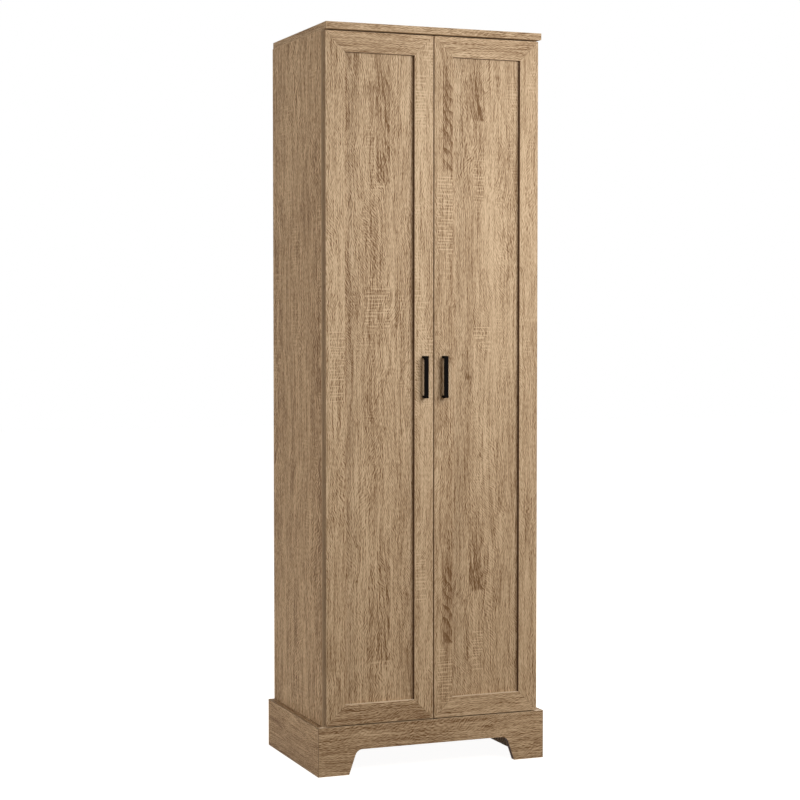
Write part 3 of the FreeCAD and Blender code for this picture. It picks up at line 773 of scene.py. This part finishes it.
# Painted shade on the left door's outer edge, on the faces of the reveals that face left, and under the top
# rails; painted light on the top and bottom faces of the bottom rails.
DOOR_BOARDS = {
    "left_door_hinge_stile": Board("Z", 0.1, 0.3, 0.7, (2.2, 1.1, 0.4), shaded={"Low X": 0.5},
        sawn=(Patch(-268, 894, -231, 1076),), contrast=1.2),
    "left_door_meeting_stile": Board("Z", 0.14, 0.0, 0.8, (3.7, 2.1, 5.4), shaded={"Low X": 0.92},
        sawn=(Patch(-48, 1560, -21, 1690),)),
    "left_door_top_rail": Board("X", 0.05, 0.5, 0.0, (8.1, 0.7, 1.9), shaded={"Low Z": 0.75}),
    "left_door_bottom_rail": Board("X", -0.07, 0.7, 0.0, (2.9, 6.6, 3.8), pale={"Z Faces": 1.0}),
    "left_door_panel": Board("Z", 0.13, 1.0, 0.5, (5.45, 0.3, 2.6),
        arches=(Patch(-145, 1421, -110, 1765, 75, 3.2),),
        sawn=(Patch(-160, 1404, -110, 1428), Patch(-176, 1068, -110, 1180)), contrast=1.12),
    "right_door_hinge_stile": Board("Z", 0.16, 0.2, 0.5, (7.2, 3.1, 1.4), shaded={"Low X": 0.92},
        contrast=0.85),
    "right_door_meeting_stile": Board("Z", 0.03, 0.0, 0.3, (9.7, 4.1, 6.4),
        arches=(Patch(23, 1455, 51, 1765, 34, 1.3),),
        sawn=(Patch(10, 1250, 50, 1452),)),
    "right_door_top_rail": Board("X", 0.08, 0.5, 0.0, (3.3, 8.7, 4.9), shaded={"Low Z": 0.75}),
    "right_door_bottom_rail": Board("X", 0.1, 0.7, 0.0, (6.9, 2.6, 7.8), pale={"Z Faces": 1.0}),
    "right_door_panel": Board("Z", 0.09, 1.0, 0.5, (1.85, 7.3, 4.6),
        arches=(Patch(100, 1580, 141, 1760, 60, 3),),
        sawn=(Patch(110, 1015, 155, 1085), Patch(108, 1380, 136, 1490))),
}


class CUPBOARD_OT_case_boards(Operator):
    """Finish the boards of the case with oak print and raw rear edges"""
    bl_idname = "cupboard.case_boards"
    bl_label = "Case Boards"

    def execute(self, context):
        for node, board in CASE_BOARDS.items():
            dress(node, oak_material(node, board))
        return {"FINISHED"}


class CUPBOARD_OT_back_sheets(Operator):
    """Finish the hardboard back sheets"""
    bl_idname = "cupboard.back_sheets"
    bl_label = "Back Sheets"

    def execute(self, context):
        for node, board in BACK_SHEETS.items():
            dress(node, back_sheet_material(node, board))
        return {"FINISHED"}


class CUPBOARD_OT_hidden_boards(Operator):
    """Finish the plinth rails in chipboard and the corner blocks in softwood"""
    bl_idname = "cupboard.hidden_boards"
    bl_label = "Hidden Boards"

    def execute(self, context):
        for node in ("front_plinth_rail", "rear_plinth_rail"):
            dress(node, kept_material("raw_chipboard", chipboard_material))
        dress("corner_blocks", kept_material(
            "softwood", plain_wood_material, "Z",
            shown(226, 196, 150), shown(205, 170, 122), shown(160, 120, 76)))
        return {"FINISHED"}


class CUPBOARD_OT_skirt(Operator):
    """Finish the three skirt boards"""
    bl_idname = "cupboard.skirt"
    bl_label = "Skirt"

    def execute(self, context):
        for node, board in SKIRT_BOARDS.items():
            dress(node, oak_material(node, board))
        return {"FINISHED"}


class CUPBOARD_OT_doors(Operator):
    """Finish the mitred frames and the panels of the doors"""
    bl_idname = "cupboard.doors"
    bl_label = "Doors"

    def execute(self, context):
        for side in SIDES:
            door = joined_box(*door_members(side))
            for node, board in DOOR_BOARDS.items():
                if node.startswith(side):
                    dress(node, oak_material(node, board, None if node.endswith("panel") else door))
        return {"FINISHED"}


# ---- fittings
HINGE_COUNT = 3
PLATE_HALF_HEIGHT = 23 * MM
PLATE_THICKNESS = 2 * MM
PLATE_SCREW_SPACING = 32 * MM
CUP_SCREW_SPACING = 48 * MM
CUP_SCREWS_FROM_MIDDLE = 253.5 * MM
ARM_SCREWS_FROM_REAR = {44 * MM: 0.2, 22 * MM: 0.9}     # and how far each is turned
NAIL_FROM_EDGE = 3.5 * MM


def spread(first, last, steps):
    """Evenly spaced values from the first to the last."""
    return [first + (last - first) * index / steps for index in range(steps + 1)]


def round_pair(node, depth):
    """The radius and the two places of a node's lower and upper round piece, at a depth."""
    low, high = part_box(node)
    radius = (high.x - low.x) / 2
    middle = (low.x + high.x) / 2
    return radius, [Vector((middle, depth, height)) for height in (low.z + radius, high.z - radius)]


class CUPBOARD_OT_handles(Operator):
    """Coat the bar pulls black and put round-headed screws behind them"""
    bl_idname = "cupboard.handles"
    bl_label = "Handles"

    def execute(self, context):
        head = screw_head(4.2 * MM, 2.4 * MM)
        for side in SIDES:
            dress(side + "_door_handle", black_coat())
            door_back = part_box(side + "_door_hinge_stile")[1].y
            places = round_pair(side + "_door_handle_screws", door_back)[1]
            stands = [set_on(REARWARD, place, 0.6 * index) for index, place in enumerate(places)]
            screws = repeated(
                side + "_handle_screw_heads", head, stands, side + "_door", nickel())
            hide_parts(side + "_door_handle_screws")
        return {"FINISHED"}


class CUPBOARD_OT_hinges(Operator):
    """Plate the cup hinges and give them their screws"""
    bl_idname = "cupboard.hinges"
    bl_label = "Hinges"

    def execute(self, context):
        countersunk = screw_head(3.6 * MM, 0.8 * MM)
        clamp = screw_head(3.0 * MM, 1.2 * MM)
        for side, sign in SIDES.items():
            for node in ("_hinge_plates", "_hinge_arms", "_door_hinge_cups"):
                dress(side + node, nickel())
            inward = Vector((-sign, 0, 0))
            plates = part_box(side + "_hinge_plates")
            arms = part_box(side + "_hinge_arms")
            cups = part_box(side + "_door_hinge_cups")
            plate_x = plates[1].x - PLATE_THICKNESS if sign > 0 else plates[0].x + PLATE_THICKNESS
            plate_y = (plates[0].y + plates[1].y) / 2
            arm_x = arms[0].x if sign > 0 else arms[1].x
            cup_x = sign * CUP_SCREWS_FROM_MIDDLE
            plate_screws, arm_screws, cup_screws = [], [], []
            lowest, highest = plates[0].z + PLATE_HALF_HEIGHT, plates[1].z - PLATE_HALF_HEIGHT
            for height in spread(lowest, highest, HINGE_COUNT - 1):
                for end in (-1, 1):
                    on_plate = Vector((plate_x, plate_y, height + end * PLATE_SCREW_SPACING / 2))
                    on_cup = Vector((cup_x, cups[1].y, height + end * CUP_SCREW_SPACING / 2))
                    plate_screws.append(set_on(inward, on_plate, 0.5 + end))
                    cup_screws.append(set_on(REARWARD, on_cup, 0.3 + end))
                for from_rear, turn in ARM_SCREWS_FROM_REAR.items():
                    arm_screws.append(set_on(inward, Vector((arm_x, arms[1].y - from_rear, height)), turn))
            repeated(side + "_plate_screws", countersunk, plate_screws, "carcass", nickel())
            repeated(side + "_arm_screws", clamp, arm_screws, "carcass", nickel())
            repeated(side + "_cup_screws", countersunk, cup_screws, side + "_door", nickel())
        return {"FINISHED"}


class CUPBOARD_OT_fittings(Operator):
    """Finish the cam locks, bolts, dowels, board screws and shelf supports"""
    bl_idname = "cupboard.fittings"
    bl_label = "Fittings"

    def execute(self, context):
        dress("cam_locks", zinc())
        dress("cam_bolts", zinc())
        dress("shelf_supports", nickel())
        dress("partition_screws", nickel())
        dress("dowels", kept_material(
            "beech", plain_wood_material, "Z",
            shown(231, 203, 165), shown(214, 180, 138), shown(176, 138, 98)))
        return {"FINISHED"}


class CUPBOARD_OT_bumpers(Operator):
    """Replace the door bumpers with clear domes"""
    bl_idname = "cupboard.bumpers"
    bl_label = "Bumpers"

    def execute(self, context):
        for side in SIDES:
            low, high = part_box(side + "_door_bumpers")
            radius, places = round_pair(side + "_door_bumpers", low.y)
            height = high.y - low.y
            profile = [(0, 0), (radius, 0), (radius, 0.35 * height), (0.85 * radius, 0.72 * height),
                       (0.5 * radius, 0.94 * height), (0, height)]
            dome = as_mesh(lathe(profile, 24), "dome")
            plastic = kept_material("clear_plastic", clear_plastic_material)
            stands = [set_on(REARWARD, place) for place in places]
            domes = repeated(side + "_bumper_domes", dome, stands, side + "_door", plastic)
            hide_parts(side + "_door_bumpers")
        return {"FINISHED"}


class CUPBOARD_OT_back_nails(Operator):
    """Nail the back sheets to the case"""
    bl_idname = "cupboard.back_nails"
    bl_label = "Back Nails"

    def execute(self, context):
        pitch = context.scene.cupboard_metal.nail_pitch
        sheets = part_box("back_sheet_lower"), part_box("back_sheet_upper")
        places = []
        for low, high in sheets:
            left, right = low.x + NAIL_FROM_EDGE, high.x - NAIL_FROM_EDGE
            bottom, top = low.z + 2 * NAIL_FROM_EDGE, high.z - 2 * NAIL_FROM_EDGE
            heights = spread(bottom, top, int((top - bottom) / pitch))
            across = spread(left, right, int((right - left) / pitch))[1:-1]
            places += [(x, z) for z in heights for x in (left, right)]
            places += [(x, z) for x in across for z in (bottom, top)]
        low, high = sheets[0]
        places += [(0, z) for z in spread(low.z, high.z, int((high.z - low.z) / pitch))[1:-1]]
        profile = [(0, -0.2 * MM), (2.2 * MM, -0.2 * MM), (2.2 * MM, 0.35 * MM), (1.5 * MM, 0.6 * MM),
                   (0, 0.7 * MM)]
        nail = as_mesh(lathe(profile, 12), "nail")
        stands = [set_on(REARWARD, Vector((x, high.y, z))) for x, z in places]
        repeated("back_nails", nail, stands, "carcass", zinc())
        return {"FINISHED"}


# ---- the studio
def seen_directly(graph):
    """1 for rays from the camera, a mirror or glass, and 0 for rays that light a surface."""
    path = graph.node("ShaderNodeLightPath").outputs
    glossy_or_camera = graph.highest(path["Is Camera Ray"], path["Is Glossy Ray"])
    return graph.highest(glossy_or_camera, path["Is Transmission Ray"])


def floor_material():
    """A pale floor that shows white and keeps the object's shadow."""
    material = bpy.data.materials.new("studio_floor")
    material.use_nodes = True
    material.node_tree.nodes.clear()
    graph = Graph(material.node_tree)
    studio = bpy.context.scene.cupboard_studio
    lit = studio.ambient * min(share * tint for share, tint in zip(FLOOR_PAINT, studio.ambient_tint))
    matt = graph.node("ShaderNodeBsdfDiffuse", {"Color": (*FLOOR_PAINT, 1)})
    glow = graph.node("ShaderNodeEmission", {
        "Color": (1 - lit, 1 - lit, 1 - lit, 1), "Strength": seen_directly(graph)})
    both = graph.node("ShaderNodeAddShader", {0: matt.outputs[0], 1: glow.outputs[0]})
    graph.node("ShaderNodeOutputMaterial", {"Surface": both.outputs[0]})
    return material


def area_light(name, place, aim, size, power, colour=(1, 1, 1)):
    """A square light that points at a place."""
    light = bpy.data.lights.new(name, "AREA")
    light.shape = "SQUARE"
    light.size = size
    light.energy = power
    light.color = colour
    lamp = bpy.data.objects.new(name, light)
    lamp.location = place
    lamp.rotation_euler = (aim - Vector(place)).to_track_quat("-Z", "Y").to_euler()
    bpy.context.scene.collection.objects.link(lamp)


class CUPBOARD_OT_studio(Operator):
    """Set up the floor, the lights, the even light from all round and the camera"""
    bl_idname = "cupboard.studio"
    bl_label = "Studio"

    def execute(self, context):
        studio = context.scene.cupboard_studio
        shape = bmesh.new()
        bmesh.ops.create_grid(shape, x_segments=1, y_segments=1, size=FLOOR_REACH)
        floor = bpy.data.objects.new("studio_floor", as_mesh(shape, "studio_floor"))
        floor.data.materials.append(floor_material())
        context.scene.collection.objects.link(floor)

        world = bpy.data.worlds.new("studio")
        context.scene.world = world
        world.use_nodes = True
        graph = Graph(world.node_tree)
        background = world.node_tree.nodes["Background"]
        direct = seen_directly(graph)
        tint = graph.blend(direct, (*studio.ambient_tint, 1), (1, 1, 1, 1))
        even = graph.times_plus(direct, 1 - studio.ambient, studio.ambient)
        graph.feed(background.inputs, {"Color": tint, "Strength": even})

        aim = Vector((0, cad_low.y, 0.55 * cad_high.z))
        area_light("key", studio.key_place, aim, studio.key_size, studio.key_power)
        area_light("fill", studio.fill_place, aim, studio.fill_size, studio.fill_power, studio.fill_tint)
        area_light("rear", studio.rear_place, aim, studio.fill_size, studio.rear_power)

        camera = bpy.data.objects.new("camera", bpy.data.cameras.new("camera"))
        camera.data.sensor_width = 36
        camera.data.lens = studio.camera_lens
        camera.data.clip_end = 100
        camera.location = studio.camera_place
        camera.rotation_euler = (math.pi / 2 + studio.camera_tilt, 0, -studio.camera_turn)
        context.scene.collection.objects.link(camera)
        context.scene.camera = camera
        context.scene.view_settings.view_transform = "Standard"
        return {"FINISHED"}


class CUPBOARD_PT_panel(Panel):
    """Lists the steps that finish the cupboard and their sizes and colours"""
    bl_idname = "CUPBOARD_PT_panel"
    bl_label = "Cupboard"
    bl_space_type = "VIEW_3D"
    bl_region_type = "UI"
    bl_category = "Cupboard"

    def draw(self, context):
        for step in STEPS:
            self.layout.operator(step.bl_idname)
        for settings in (getattr(context.scene, name) for name in SETTINGS):
            box = self.layout.box()
            for name in settings.__annotations__:
                box.prop(settings, name)


STEPS = (
    CUPBOARD_OT_case_boards,
    CUPBOARD_OT_back_sheets,
    CUPBOARD_OT_hidden_boards,
    CUPBOARD_OT_skirt,
    CUPBOARD_OT_doors,
    CUPBOARD_OT_handles,
    CUPBOARD_OT_hinges,
    CUPBOARD_OT_fittings,
    CUPBOARD_OT_bumpers,
    CUPBOARD_OT_back_nails,
    CUPBOARD_OT_studio,
)
SETTINGS = {"cupboard_oak": CupboardOak, "cupboard_metal": CupboardMetal, "cupboard_studio": CupboardStudio}


def register():
    for name, settings in SETTINGS.items():
        bpy.utils.register_class(settings)
        setattr(bpy.types.Scene, name, PointerProperty(type=settings))
    for step in STEPS + (CUPBOARD_PT_panel,):
        bpy.utils.register_class(step)


def unregister():
    for step in reversed(STEPS + (CUPBOARD_PT_panel,)):
        bpy.utils.unregister_class(step)
    for name, settings in SETTINGS.items():
        delattr(bpy.types.Scene, name)
        bpy.utils.unregister_class(settings)


def main():
    register()
    for step in STEPS:
        group, name = step.bl_idname.split(".")
        getattr(getattr(bpy.ops, group), name)()


if __name__ == "__main__":
    main()
